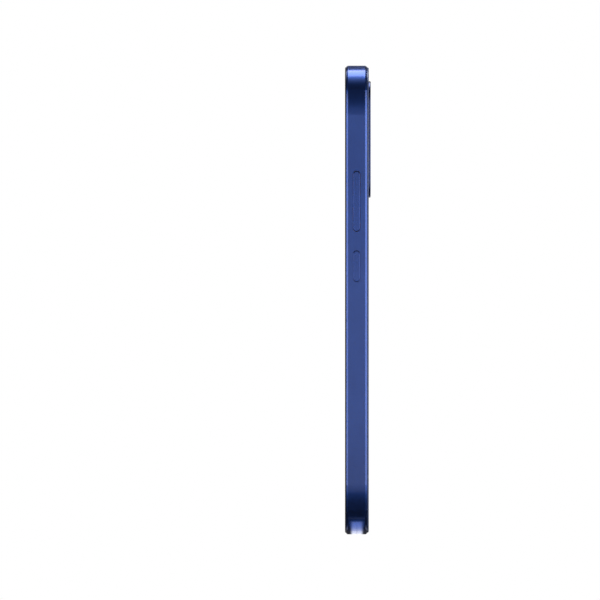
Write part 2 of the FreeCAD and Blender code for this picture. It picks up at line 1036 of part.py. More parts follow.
def front_camera():
    low, high = plate_front + slide_gap, board_front - front_camera_gap
    base = square_module(0, front_camera_z, front_camera_size, low, high)
    face = glass_back + fit_gap
    barrel = rod("y", (0, front_camera_z), front_camera_r, face, high)
    outer_r, inner_r = front_cone_r
    cone = Part.makeCone(outer_r, inner_r, front_cone_t, V(0, face, front_camera_z), V(0, 1, 0))
    return joined([base, barrel]).cut(cone)


def camera_flexes():
    """Ribbons from the camera modules to the connectors on the mainboard."""
    y0 = board_back + connector_t
    ribbons = []
    sizes = (main_camera_size, wide_camera_size, macro_camera_size)
    for (x, z), size, wide in zip(lens_places, sizes, camera_ribbon_widths):
        x1 = x - size / 2
        z0, z1 = z - wide / 2, z + wide / 2
        ribbons.append(block(camera_connector_x, x1, y0, y0 + ribbon_t, z0, z1))
    return group(ribbons)


# ---------------------------------------------------------------- upper bay
camera_connector_x = board_right - connector_set_back
board_z0 = upper_floor + board_low_gap
can_front_y = floor + pad_t
can_rear_y = bracket_front - can_bracket_gap


class CanPlan:
    """Outline of a shield can, with the chips under it as (x share, z share, width, height)."""

    def __init__(self, x0, x1, z0, z1, chips):
        self.x0, self.x1, self.z0, self.z1 = x0, x1, z0, z1
        self.chips = chips

    def shell(self, y0, y1, open_front):
        skin = can_skin
        inner_y0, inner_y1 = (y0 - past, y1 - skin) if open_front else (y0 + skin, y1 + past)
        outer = rounded_plate(self.x0, self.x1, self.z0, self.z1, y0, y1, shield_r)
        inner = rounded_plate(
            self.x0 + skin,
            self.x1 - skin,
            self.z0 + skin,
            self.z1 - skin,
            inner_y0,
            inner_y1,
            shield_r - skin,
        )
        return outer.cut(inner)

    def chip_blocks(self, y0, y1):
        blocks = []
        for share_x, share_z, wide, tall in self.chips:
            x = self.x0 + (self.x1 - self.x0) * share_x
            z = self.z0 + (self.z1 - self.z0) * share_z
            blocks.append(column(wide / 2, z - tall / 2, z + tall / 2, y0, y1, x))
        return blocks


front_can = CanPlan(
    -side + 6.6,
    board_right - 3.0,
    upper_floor + 7.0,
    height - 13.0,
    [(0.3, 0.7, 11.0, 11.0), (0.75, 0.7, 8.0, 10.0), (0.35, 0.22, 9.0, 6.0)],
)
rear_can = CanPlan(
    -side + 12.0,
    board_right - 8.0,
    upper_floor + 7.0,
    height - 15.0,
    [(0.35, 0.66, 12.5, 12.5), (0.8, 0.2, 7.0, 7.0), (0.25, 0.2, 8.0, 4.5)],
)


def mainboard():
    board = block(-side, board_right, board_front, board_back, board_z0, height - board_top_gap)
    board = board.common(slab(board_in, board_front, board_back))
    for tool in boss_holes(upper_screws):
        board = board.cut(tool)
    return board


def shield_cans():
    return group([
        front_can.shell(can_front_y, board_front, False),
        rear_can.shell(board_back, can_rear_y, True),
    ])


def board_chips():
    """Processor, memory, power and radio chips under the two shield cans."""
    return group(
        rear_can.chip_blocks(board_back, board_back + rear_chip_t)
        + front_can.chip_blocks(board_front - front_chip_t, board_front)
    )


def thermal_pad():
    return block(
        front_can.x0 + pad_in,
        front_can.x1 - pad_in,
        floor,
        floor + pad_t,
        front_can.z0 + pad_in,
        front_can.z1 - pad_in,
    )


def earpiece_receiver():
    x1 = -front_camera_size / 2 - 2 * air_gap
    return rounded_plate(
        x1 - receiver_length * 2,
        x1,
        receiver_z1 - receiver_height,
        receiver_z1,
        floor,
        board_front - slide_gap,
        receiver_r,
    )


def top_microphone():
    """The microphone behind its hole, on a post from the mid plate."""
    z0 = receiver_z1 - mic_length
    front = rail_mid - mic_depth
    body = column(mic_half, z0, receiver_z1, front, rail_mid + mic_depth, top_mic_x)
    post = column(mic_half * 0.75, z0, receiver_z1, floor, front, top_mic_x)
    return joined([body, post])


def upper_bracket():
    """The cover plate over the mainboard, with an arm above the cameras."""
    y0, y1 = bracket_front, bracket_back
    main = block(-side, board_right - bracket_step, y0, y1, upper_floor + bracket_step, height)
    arm = block(-side, side, y0, y1, height - bracket_arm, height)
    plate = joined([main, arm]).common(slab(rail_wall + air_gap, y0, y1))
    half = main_camera_size / 2 + air_gap
    camera = column(half, main_z - half, main_z + half, floor, back_face, lens_x)
    for tool in screw_holes(upper_screws) + [camera]:
        plate = plate.cut(tool)
    return plate


def nfc_antenna():
    return rounded_plate(
        -side + nfc_in[0],
        board_right - nfc_in[1],
        upper_floor + nfc_in[2],
        height - nfc_in[3],
        bracket_back,
        bracket_back + ribbon_t,
        nfc_r,
    )


# ---------------------------------------------------------------- battery
battery_z0 = lower_bay + bay_gap
battery_z1 = upper_floor - bay_gap
battery_x0 = -side + battery_left_gap
battery_x1 = bracket_x0 - battery_right_gap
battery_y0 = floor + battery_tape_t
ribbon_y = cover_front - graphite_t - air_gap - ribbon_t
battery_y1 = ribbon_y - slide_gap
cell_z1 = battery_z1 - battery_fold


def battery_cell():
    cell = block(battery_x0, battery_x1, battery_y0, battery_y1, battery_z0, cell_z1)
    long_edges = [e for e in cell.Edges if abs(e.BoundBox.ZLength - (cell_z1 - battery_z0)) < 1e-3]
    return cell.makeFillet(battery_edge_r, long_edges)


def battery_board():
    """The protection board in the cell's top fold, with its tail to the mainboard."""
    mid = (battery_y0 + battery_y1) / 2
    half = battery_board_t / 2
    x0, x1 = battery_x0 + battery_board_in, battery_x1 - battery_board_in
    strip = block(x0, x1, mid - half, mid + half, cell_z1, battery_z1)
    tail_x0, tail_x1 = battery_tail
    tail_y = board_back + connector_t
    tail_z0 = battery_z1 - air_gap
    riser = block(tail_x0, tail_x1, mid, tail_y + ribbon_t, tail_z0, battery_z1)
    tail = block(tail_x0, tail_x1, tail_y, tail_y + ribbon_t, tail_z0, upper_floor + tail_reach)
    return joined([strip, riser, tail])


def battery_adhesive():
    """Two strips of stretch tape between the cell and the mid plate."""
    mid = (battery_x0 + battery_x1) / 2
    z0, z1 = battery_z0 + battery_tape_in, cell_z1 - battery_tape_in
    return group([
        column(battery_tape_half, z0, z1, floor, battery_y0, mid + out)
        for out in (-battery_tape_out, battery_tape_out)
    ])


def main_flex():
    """The ribbon over the battery, stepped down to a board at each end."""
    x0, x1 = flex_x0, flex_x0 + flex_width
    low_y = sub_back + connector_t
    high_y = board_back + connector_t
    top_y = ribbon_y + ribbon_t
    low_z0, low_z1 = lower_bay - flex_low_tail, lower_bay
    high_z = upper_floor - flex_step
    return joined([
        block(x0, x1, low_y, low_y + ribbon_t, low_z0, low_z1),
        block(x0, x1, low_y, top_y, low_z1 - ribbon_t, low_z1),
        block(x0, x1, ribbon_y, top_y, low_z1 - ribbon_t, high_z),
        block(x0, x1, high_y, top_y, high_z - ribbon_t, high_z),
        block(x0, x1, high_y, high_y + ribbon_t, high_z - ribbon_t, upper_floor + flex_tail),
    ])


# ---------------------------------------------------------------- lower bay
motor_y = (floor + cover_front) / 2
motor_r = (cover_front - floor) / 2 - motor_air - boot_t
boot_reach = motor_r + boot_t
motor_z = socket_z1 + boot_reach + motor_above_socket
motor_x0 = -side + motor_from_side
motor_x1 = motor_x0 + motor_length
motor_low_z = motor_z - boot_reach - motor_air
weight_x0 = motor_x1 + weight_gap
weight_x1 = weight_x0 + weight_length
motor_clear_x = weight_x1 + motor_end_gap
sub_board_z0 = rail_wall + sub_board_gap


def sub_board():
    """The board round the socket and the tray, cut back for the motor and the cable's lane."""
    y0, y1 = sub_front, sub_back
    low = block(-side, sub_right, y0, y1, sub_board_z0, motor_low_z)
    high = block(motor_clear_x, sub_right, y0, y1, sub_board_z0, lower_bay - sub_board_top_gap)
    below_lane = block(-side, side, y0, y1, 0, coax_low[1] - lane_start)
    wide = slab(rail_wall + board_edge_gap, y0, y1).common(below_lane)
    board = joined([low, high]).common(slab(board_in, y0, y1).fuse(wide))
    board = board.cut(usb_opening(air_gap, -past, usb_z1 + air_gap))
    for tool in boss_holes(lower_screws):
        board = board.cut(tool)
    return board


def connector(x0, x1, y, z0, z1):
    return block(x0, x1, y, y + connector_t, z0, z1)


def board_connectors():
    """Press-fit ribbon connectors and the two coax sockets."""
    pieces = []
    x1 = camera_connector_x + connector_length
    for (x, z), wide in zip(lens_places, camera_ribbon_widths):
        pieces.append(connector(camera_connector_x, x1, board_back, z - wide / 2, z + wide / 2))
    tail_x0, tail_x1 = battery_tail
    z1 = upper_floor + tail_reach - board_edge_gap
    pieces.append(
        connector(tail_x0 + flex_in, tail_x1 - flex_in, board_back, z1 - connector_length, z1)
    )
    x0, x1 = flex_x0 + flex_in, flex_x0 + flex_width - flex_in
    pieces.append(connector(x0, x1, board_back, z1 - connector_length, z1))
    low_z0 = lower_bay - flex_low_tail + past
    pieces.append(connector(x0, x1, sub_back, low_z0, low_z0 + connector_length))
    pieces.append(rod("y", coax_low, coax_socket_r, sub_back, sub_back + coax_socket_t))
    pieces.append(rod("y", coax_high, coax_socket_r, board_back, board_back + coax_socket_t))
    return group(pieces)


def lower_bracket():
    """The cover plate over the sub board, cut out over the cable's socket."""
    y0, y1 = bracket_front, bracket_back
    x1 = sub_right + bracket_step
    low = block(-side, x1, y0, y1, rail_wall, motor_low_z)
    high = block(motor_clear_x, x1, y0, y1, rail_wall, lower_bay - ribbon_t - board_edge_gap)
    plate = joined([low, high]).common(slab(rail_wall + air_gap, y0, y1))
    x, z = coax_low
    reach = coax_socket_r + sub_board_gap
    plate = plate.cut(block(-side, x + reach, floor, back_face, z - reach, lower_bay))
    for tool in screw_holes(lower_screws):
        plate = plate.cut(tool)
    return plate


speaker_x0 = sub_right + 2 * air_gap
speaker_z0 = speaker_mesh_z0 + speaker_mesh_t + slide_gap
speaker_z1 = lower_bay - speaker_top_gap
well_x0, well_x1 = speaker_x0 + speaker_well_in[0], inner_side - speaker_well_in[1]
well_z0, well_z1 = speaker_well_z0, lower_bay - speaker_well_top_gap
well_front = floor + speaker_floor_t
well_back = bracket_front - speaker_roof_t
cone_front = well_front + diaphragm_travel + air_gap
coil_x, coil_z = (well_x0 + well_x1) / 2, (well_z0 + well_z1) / 2


def well_plate(inset, y0, y1, r):
    """A rounded plate that follows the loudspeaker's well, moved inwards by inset."""
    return rounded_plate(
        well_x0 + inset, well_x1 - inset, well_z0 + inset, well_z1 - inset, y0, y1, r
    )


def coil_plate(inset, y0, y1, r):
    """A rounded plate that follows the voice coil, moved inwards by inset."""
    half_x, half_z = coil_half_x - inset, coil_half_z - inset
    return rounded_plate(
        coil_x - half_x, coil_x + half_x, coil_z - half_z, coil_z + half_z, y0, y1, r
    )


def speaker_box():
    box = block(speaker_x0, side, floor, bracket_front, speaker_z0, speaker_z1)
    box = box.common(slab(rail_wall + speaker_side_gap, floor, bracket_front))
    flange = slab(0, floor - past, flange_back + fit_gap)
    flange = flange.cut(slab(flange_reach + slide_gap, floor - past, flange_back + past))
    port_z1 = well_z0 + past
    port = block(
        speaker_port_x0, speaker_port_x1, rail_mid - port_half, rail_mid + port_half, 0, port_z1
    )
    well = well_plate(0.0, well_front, well_back, well_r)
    for tool in [flange, well, port] + boss_holes(lower_screws):
        box = box.cut(tool)
    return joined([box, speaker_ears()])


def speaker_ears():
    """The plate on the box's back that its two screws hold."""
    y0, y1 = bracket_front, bracket_back
    plate = block(sub_right + bracket_step + air_gap, side, y0, y1, speaker_z0, speaker_z1)
    plate = plate.common(slab(rail_wall + speaker_side_gap, y0, y1))
    for tool in screw_holes(lower_screws):
        plate = plate.cut(tool)
    return plate


def speaker_diaphragm():
    """The cone plate with its voice coil."""
    cone = well_plate(cone_gap, cone_front, cone_front + diaphragm_t, cone_r)
    outer = coil_plate(0.0, cone_front, cone_front + coil_t, coil_r)
    inner = coil_plate(coil_wall, cone_front + diaphragm_t, well_back, coil_r - coil_wall)
    return joined([cone, outer]).cut(inner)


def speaker_magnet():
    y0 = cone_front + diaphragm_t + diaphragm_travel + 2 * slide_gap
    base = well_plate(speaker_roof_t, well_back - magnet_t, well_back, magnet_r)
    grow = coil_wall + magnet_gap
    return joined([base, coil_plate(grow, y0, well_back, coil_r - grow)])


def speaker_mesh():
    return block(
        speaker_port_x0,
        speaker_port_x1,
        rail_mid - mesh_half,
        rail_mid + mesh_half,
        speaker_mesh_z0,
        speaker_mesh_z0 + speaker_mesh_t,
    )


def bottom_microphone():
    z0 = rail_wall + sub_board_gap
    return column(mic_half, z0, z0 + mic_length, rail_mid - mic_depth, sub_front, bottom_mic_x)


def vibration_motor_can():
    can = rod("x", (motor_y, motor_z), motor_r, motor_x0, motor_x1)
    rims = outer_edges(can, "x", motor_x0) + outer_edges(can, "x", motor_x1)
    bore_r = motor_shaft_r + fit_gap
    bore = rod("x", (motor_y, motor_z), bore_r, motor_x0 + shaft_cup, motor_x1 + past)
    return can.makeFillet(motor_edge_r, rims).cut(bore)


def vibration_motor_weight():
    """The half-round weight and its shaft."""
    weight = rod("x", (motor_y, motor_z), motor_r, weight_x0, weight_x1)
    flat = block(
        weight_x0 - past,
        weight_x1 + past,
        motor_y + weight_flat,
        back_face,
        motor_z - boot_reach,
        motor_z + boot_reach,
    )
    shaft_x0 = motor_x0 + shaft_cup + shaft_end
    shaft = rod("x", (motor_y, motor_z), motor_shaft_r, shaft_x0, weight_x1 + shaft_end)
    return joined([weight.cut(flat), shaft])


def vibration_motor_boot():
    """The rubber boot that holds the motor between the mid plate and the cover."""
    x0, x1 = motor_x0 + boot_in, motor_x1 - boot_in
    body = block(x0, x1, floor, motor_y, motor_z - boot_reach, motor_z + boot_reach)
    round_top = rod("x", (motor_y, motor_z), boot_reach, x0, x1)
    bore = rod("x", (motor_y, motor_z), motor_r + seat_gap, x0 - past, x1 + past)
    return joined([body, round_top]).cut(bore)


# ---------------------------------------------------------------- tray ejector
def eject_rod():
    """The round-ended rod that a pin pushes through the hole in the tray's head."""
    tip = lever_z - lever_height / 2 - fit_gap
    round_z = tip - eject_rod_r
    stem = rod("z", (eject_x, rail_mid), eject_rod_r, rail_wall - eject_rod_back, round_z)
    return joined([stem, Part.makeSphere(eject_rod_r, V(eject_x, rail_mid, round_z))])


def eject_lever():
    """The lever that turns the rod's push upwards into a push on the tray's end."""
    bar = block(
        lever_x - lever_arm - lever_end,
        eject_x + eject_rod_r,
        rail_mid - lever_t / 2,
        rail_mid + lever_t / 2,
        lever_z - lever_height / 2,
        lever_z + lever_height / 2,
    )
    return bar.cut(rod("y", (lever_x, lever_z), lever_pin_r + fit_gap, front_face, back_face))


# ---------------------------------------------------------------- antenna cable
def tube(points, r):
    """A round cable along straight runs joined by tangent arcs."""
    edges = []
    here = points[0]
    for i in range(1, len(points) - 1):
        back = points[i - 1] - points[i]
        ahead = points[i + 1] - points[i]
        half_turn = (math.pi - back.getAngle(ahead)) / 2
        reach = arc_share * min(back.Length, ahead.Length)
        bend = reach / math.tan(half_turn)
        start = points[i] + back.normalize() * reach
        end = points[i] + ahead.normalize() * reach
        bisector = (back + ahead).normalize()
        centre = points[i] + bisector * (bend / math.cos(half_turn))
        middle = centre - bisector * bend
        edges.append(Part.LineSegment(here, start).toShape())
        edges.append(Part.Arc(start, middle, end).toShape())
        here = end
    edges.append(Part.LineSegment(here, points[-1]).toShape())
    first = (points[1] - points[0]).normalize()
    section = Part.Wire(Part.Circle(points[0], first, r).toShape())
    return Part.Wire(edges).makePipeShell([section], True, False)


def antenna_cable():
    """From the sub board's socket, up the lane on the frame's flange, to the mainboard's."""
    lane_x = -side + flange_reach + coax_r
    lane_y = flange_back + coax_r + fit_gap
    low_y = sub_back + coax_socket_t + coax_r + fit_gap
    high_y = board_back + coax_socket_t + coax_r + fit_gap
    x_low, z_low = coax_low
    x_high, z_high = coax_high
    points = [
        V(x_low, low_y, z_low),
        V(x_low - 1.0, low_y + 0.05, z_low + 2.2),
        V(lane_x, low_y - 0.2, z_low + 6.2),
        V(lane_x, lane_y, z_low + 14.0),
        V(lane_x + 0.1, lane_y, z_low + 50.0),
        V(lane_x, lane_y, z_high - 16.0),
        V(lane_x, high_y - 0.1, z_high - 8.0),
        V(x_high - 1.0, high_y + 0.05, z_high - 3.0),
        V(x_high, high_y, z_high),
    ]
    return tube(points, coax_r)


# ---------------------------------------------------------------- export
nodes = {
    "side_frame": side_frame,
    "mid_plate": mid_plate,
    "display_glass": display_glass,
    "display_panel": display_panel,
    "display_adhesive": display_adhesive,
    "display_cushion": display_cushion,
    "display_flex": display_flex,
    "earpiece_mesh": earpiece_mesh,
    "earpiece_receiver": earpiece_receiver,
    "front_camera": front_camera,
    "back_cover": back_cover,
    "back_cover_adhesive": back_cover_adhesive,
    "graphite_sheet": graphite_sheet,
    "camera_island": camera_island,
    "lens_rings": lens_rings,
    "lens_windows": lens_windows,
    "flash_window": flash_window,
    "flash_led": flash_led,
    "main_camera_housing": main_camera_housing,
    "main_camera_barrel": main_camera_barrel,
    "wide_camera": lambda: fixed_camera(lens_x, wide_z, wide_camera_size, wide_barrel_r),
    "macro_camera": lambda: fixed_camera(lens_x, macro_z, macro_camera_size, macro_barrel_r),
    "depth_camera": lambda: fixed_camera(small_x, depth_z, depth_camera_size, depth_barrel_r),
    "camera_flexes": camera_flexes,
    "mainboard": mainboard,
    "board_chips": board_chips,
    "board_connectors": board_connectors,
    "shield_cans": shield_cans,
    "thermal_pad": thermal_pad,
    "top_microphone": top_microphone,
    "upper_bracket": upper_bracket,
    "nfc_antenna": nfc_antenna,
    "battery_cell": battery_cell,
    "battery_board": battery_board,
    "battery_adhesive": battery_adhesive,
    "main_flex": main_flex,
    "antenna_cable": antenna_cable,
    "sub_board": sub_board,
    "usb_shell": usb_shell,
    "usb_tongue": usb_tongue,
    "sim_tray": sim_tray,
    "sim_tray_seal": sim_tray_seal,
    "sim_socket": sim_socket,
    "eject_rod": eject_rod,
    "eject_lever": eject_lever,
    "bottom_microphone": bottom_microphone,
    "lower_bracket": lower_bracket,
    "speaker_box": speaker_box,
    "speaker_diaphragm": speaker_diaphragm,
    "speaker_magnet": speaker_magnet,
    "speaker_mesh": speaker_mesh,
    "vibration_motor_can": vibration_motor_can,
    "vibration_motor_weight": vibration_motor_weight,
    "vibration_motor_boot": vibration_motor_boot,
    "volume_key": volume_key,
    "power_key": power_key,
    "key_bracket": key_bracket,
    "key_flex": key_flex,
    "key_domes": key_domes,
    "bracket_screws": bracket_screws,
}

os.makedirs("parts", exist_ok=True)
for name, make in nodes.items():
    shape = make()
    if not shape.isValid() or shape.Volume <= 0:
        print("check", name, "valid", shape.isValid(), "volume", round(shape.Volume, 3))
    shape.exportStep("parts/" + name + ".step")
print(len(nodes), "nodes written")
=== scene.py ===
# %% [markdown]
# # A smartphone, seen edge on
#
# The construction of this phone comes from a CAD model: every rail, plate, key and screw is already
# at its real size and place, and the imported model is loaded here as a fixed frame. What is left to
# do in Blender is the looks: the paint of the rail, the glass, the lenses, the metal of the socket.
# We never move a CAD piece. We give it a better material, or hide it and model a finer piece in the
# same place.

# %% Load the frame
import bmesh
import bpy
import math
from mathutils import Matrix, Vector


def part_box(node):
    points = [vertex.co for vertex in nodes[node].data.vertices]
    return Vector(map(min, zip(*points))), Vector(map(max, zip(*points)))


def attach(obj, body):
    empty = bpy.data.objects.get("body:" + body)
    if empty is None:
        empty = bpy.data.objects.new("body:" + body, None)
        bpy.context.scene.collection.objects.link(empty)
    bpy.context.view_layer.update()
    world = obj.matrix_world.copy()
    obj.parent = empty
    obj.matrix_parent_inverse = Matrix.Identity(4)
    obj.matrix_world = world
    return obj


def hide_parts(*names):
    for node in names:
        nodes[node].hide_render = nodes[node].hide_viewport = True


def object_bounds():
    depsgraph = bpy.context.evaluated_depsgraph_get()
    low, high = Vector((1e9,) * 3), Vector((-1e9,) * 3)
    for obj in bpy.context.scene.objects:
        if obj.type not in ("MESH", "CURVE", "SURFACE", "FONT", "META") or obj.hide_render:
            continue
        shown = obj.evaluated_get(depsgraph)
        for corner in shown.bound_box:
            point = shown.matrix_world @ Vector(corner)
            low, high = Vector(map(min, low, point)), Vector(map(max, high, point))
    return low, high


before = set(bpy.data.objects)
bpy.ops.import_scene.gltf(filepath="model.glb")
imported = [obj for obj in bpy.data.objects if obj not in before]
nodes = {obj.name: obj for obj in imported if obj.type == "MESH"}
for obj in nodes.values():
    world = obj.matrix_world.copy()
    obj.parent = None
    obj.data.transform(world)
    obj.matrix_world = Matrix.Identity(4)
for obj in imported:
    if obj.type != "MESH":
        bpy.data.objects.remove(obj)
cad_low, cad_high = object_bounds()
HOUSING = "housing"

# %% [markdown]
# ## The camera
#
# Seen from far away through a long lens, both long sides of a phone stay parallel. An orthographic
# camera does the same. Its scale is the height of the frame in metres, and the phone stands a
# little right of the middle.

# %% Camera
FRAME_HEIGHT = 0.212
CAMERA_DISTANCE = 0.6
PHONE_RIGHT_OF_MIDDLE = 0.0201

phone_height = cad_high[2]
camera_data = bpy.data.cameras.new("edge_camera")
camera_data.type = "ORTHO"
camera_data.ortho_scale = FRAME_HEIGHT
camera = bpy.data.objects.new("edge_camera", camera_data)
camera.location = (CAMERA_DISTANCE, -PHONE_RIGHT_OF_MIDDLE, phone_height / 2)
camera.rotation_euler = (math.radians(90), 0, math.radians(90))
bpy.context.scene.collection.objects.link(camera)
bpy.context.scene.camera = camera
bpy.context.scene.view_settings.view_transform = "Standard"
print("camera looks at the edge with the keys, phone height", round(phone_height, 4))

# %% [markdown]
# ## Shader maths as plain Python
#
# Node trees are quick to read when they are written as sums. `Socket` wraps one output of a node
# and overloads the operators, so `1 - mask * 0.5` adds the Math nodes by itself. `Shader.node`
# makes any other node from its type, its settings and its inputs.

# %% Socket and Shader
class Socket:
    def __init__(self, shader, output):
        self.shader = shader
        self.output = output

    def _math(self, operation, a, b=None):
        inputs = {0: a} if b is None else {0: a, 1: b}
        return self.shader.node("ShaderNodeMath", {"operation": operation}, inputs)

    def __add__(self, other):
        return self._math("ADD", self, other)

    def __radd__(self, other):
        return self._math("ADD", other, self)

    def __sub__(self, other):
        return self._math("SUBTRACT", self, other)

    def __rsub__(self, other):
        return self._math("SUBTRACT", other, self)

    def __mul__(self, other):
        return self._math("MULTIPLY", self, other)

    def __rmul__(self, other):
        return self._math("MULTIPLY", other, self)

    def __truediv__(self, other):
        return self._math("DIVIDE", self, other)

    def power(self, other):
        return self._math("POWER", self, other)

    def most(self, other):
        return self._math("MAXIMUM", self, other)

    def size(self):
        return self._math("ABSOLUTE", self)

    def sine(self):
        return self._math("SINE", self)

    def rise(self, low, high):
        """0 below low, 1 above high, and smooth between."""
        settings = {"interpolation_type": "SMOOTHSTEP"}
        inputs = {"Value": self, "From Min": low, "From Max": high}
        return self.shader.node("ShaderNodeMapRange", settings, inputs)


class Shader:
    """One material, with its Principled node ready to be given values or links."""

    def __init__(self, name):
        self.material = bpy.data.materials.new(name)
        self.material.use_nodes = True
        self.tree = self.material.node_tree
        self.principled = self.tree.nodes["Principled BSDF"]
        self.output = self.tree.nodes["Material Output"]

    def node(self, kind, settings=None, inputs=None, out=0):
        made = self.tree.nodes.new(kind)
        for key, value in (settings or {}).items():
            if key == "stops":
                ramp = made.color_ramp
                while len(ramp.elements) < len(value):
                    ramp.elements.new(0.5)
                for element, (place, colour) in zip(ramp.elements, value):
                    element.position = place
                    element.color = colour
            else:
                setattr(made, key, value)
        for key, value in (inputs or {}).items():
            self.feed(made.inputs[key], value)
        return Socket(self, made.outputs[out])

    def feed(self, socket, value):
        if isinstance(value, Socket):
            self.tree.links.new(value.output, socket)
        else:
            socket.default_value = value

    def set(self, **values):
        for key, value in values.items():
            self.feed(self.principled.inputs[key.replace("_", " ")], value)
        return self

    def place(self):
        return self.node("ShaderNodeTexCoord", out=3)

    def axes(self):
        split = self.tree.nodes.new("ShaderNodeSeparateXYZ")
        self.feed(split.inputs[0], self.place())
        return [Socket(self, output) for output in split.outputs]

    def noise(self, scale, detail=2.0, rough=0.5):
        inputs = {"Vector": self.place(), "Scale": scale, "Detail": detail, "Roughness": rough}
        return self.node("ShaderNodeTexNoise", None, inputs)

    def mix(self, amount, first, second):
        inputs = {"Factor": amount, 6: first, 7: second}
        return self.node("ShaderNodeMix", {"data_type": "RGBA"}, inputs, out=2)

    def bump(self, height, distance, strength=1.0):
        inputs = {"Height": height, "Distance": distance, "Strength": strength}
        self.set(Normal=self.node("ShaderNodeBump", None, inputs))
        return self


def srgb(red, green, blue, alpha=1.0):
    """A colour written as it looks on a screen, 0 to 255, as linear values."""
    linear = []
    for value in (red, green, blue):
        v = value / 255
        linear.append(v / 12.92 if v <= 0.04045 else ((v + 0.055) / 1.055) ** 2.4)
    return (*linear, alpha)


# %% [markdown]
# ## Paint of the rail and the keys
#
# The rail is painted with a satin metallic blue. Such a paint is a coloured base with fine metal
# flakes under a thin clear coat: the flakes make a grain of about a tenth of a millimetre, and the
# coat turns the bright bands at the corners paler. A little noise in colour and in roughness keeps
# the long flat from looking like a drawing.

# %% Metallic paint
RAIL_BLUE = srgb(42, 74, 150)
RAIL_DEEP = srgb(34, 65, 138)


def metallic_paint(name, light, deep, roughness, metallic=0.97, coat=0.6):
    s = Shader(name)
    flakes = s.noise(9000, 1.0)
    cloud = s.noise(60, 3.0)
    tone = (cloud * 0.5 + flakes * 0.5).rise(0.3, 0.7)
    s.set(Base_Color=s.mix(tone, deep, light), Metallic=metallic)
    s.set(Roughness=roughness + flakes * 0.12 - 0.06)
    s.set(Coat_Weight=coat, Coat_Roughness=0.12)
    return s.bump(flakes, 0.000006).material


rail_paint = metallic_paint("rail_paint", RAIL_BLUE, RAIL_DEEP, 0.34)
key_paint = metallic_paint("key_paint", srgb(38, 69, 144), srgb(30, 60, 130), 0.26)
island_paint = metallic_paint("island_paint", srgb(38, 60, 120), srgb(30, 50, 104), 0.24, 0.9, 0.5)
print("paints:", rail_paint.name, key_paint.name, island_paint.name)

# %% [markdown]
# ## Back cover
#
# The back is a glass sheet that is painted on its inside and etched on its outside, so it is blue
# with a silky sheen: mostly a dielectric, with a fairly high roughness and a thin coat. The edge is
# ground and looks greyer than the face.

# %% Back cover
EDGE_LOW, EDGE_HIGH = cad_high[1] - 0.00085, cad_high[1] - 0.00072


def etched_cover():
    s = Shader("etched_cover")
    x, y, z = s.axes()
    face = y.rise(EDGE_LOW, EDGE_HIGH)
    grain = s.noise(7000, 1.0)
    body = s.mix(grain, srgb(57, 78, 140), srgb(63, 85, 147))
    s.set(Base_Color=s.mix(face, srgb(70, 84, 122), body), Metallic=0.25)
    s.set(Roughness=0.38 + grain * 0.1 - 0.05, Coat_Weight=0.25, Coat_Roughness=0.3)
    return s.bump(grain, 0.000008, 0.4).material


cover_finish = etched_cover()

# %% [markdown]
# ## Display glass
#
# With the display off, the front is one black pane. The active area of the panel is a slightly
# bluer field inside the black printed border, and near the top is the round hole of the front
# camera, with a dark violet pupil inside a grey rim.

# %% Display glass
BORDER = 0.0021
EDGE_START, EDGE_END = 0.00005, 0.0003
CAMERA_HOLE_R = 0.0019
CAMERA_LENS_R = 0.0013


def display_finish():
    s = Shader("display_finish")
    low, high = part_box("display_glass")
    x, y, z = s.axes()
    inside_x = (high[0] - BORDER - x.size()).rise(0.0, 0.0002)
    middle_z = (low[2] + high[2]) / 2
    inside_z = (high[2] - BORDER - middle_z - (z - middle_z).size()).rise(0.0, 0.0002)
    cam_low, cam_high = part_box("front_camera")
    cx, cz = (cam_low[0] + cam_high[0]) / 2, (cam_low[2] + cam_high[2]) / 2
    reach = ((x - cx) * (x - cx) + (z - cz) * (z - cz)).power(0.5)
    clear_of_camera = reach.rise(CAMERA_HOLE_R, CAMERA_HOLE_R + 0.00015)
    active = inside_x * inside_z * clear_of_camera
    edge = y.rise(low[1] + EDGE_START, low[1] + EDGE_END)
    face = s.mix(active, srgb(7, 7, 9), srgb(14, 16, 23))
    rim = reach.rise(0.00088, 0.00096) * (1 - reach.rise(0.00112, 0.0012))
    pupil = 1 - reach.rise(0.00035, 0.0006)
    lens = s.mix(pupil, s.mix(rim, srgb(9, 11, 20), srgb(44, 46, 54)), srgb(34, 30, 66))
    inside_lens = 1 - reach.rise(CAMERA_LENS_R, CAMERA_LENS_R + 0.00005)
    face = s.mix(inside_lens, face, lens)
    s.set(Base_Color=s.mix(edge, face, srgb(20, 26, 38)))
    smudge = s.noise(45, 3.0)
    s.set(Roughness=0.05 + smudge * 0.05 + edge * 0.2, Specular_IOR_Level=0.2)
    return s.material


display_glass_finish = display_finish()

# %% [markdown]
# ## Metals, plastics, boards and films
#
# Most pieces inside the phone are one of a few stock materials. Each gets a short function with the
# grain at its real size: brushed lines for rolled steel, fine pits for moulded plastic, copper
# lines under green mask for a board, and an amber sheen for a polyimide ribbon.

# %% Stock materials
def brushed_metal(name, colour, roughness, along=(1, 1, 18)):
    s = Shader(name)
    stretched = s.node("ShaderNodeMapping", None, {"Vector": s.place(), "Scale": along})
    grain = s.node("ShaderNodeTexNoise", None, {"Vector": stretched, "Scale": 1500, "Detail": 3.0})
    dark = tuple(c * 0.8 for c in colour[:3]) + (1.0,)
    s.set(Base_Color=s.mix(grain, dark, colour), Metallic=1.0)
    s.set(Roughness=roughness + grain * 0.16 - 0.08)
    return s.bump(grain, 0.00001, 0.4).material


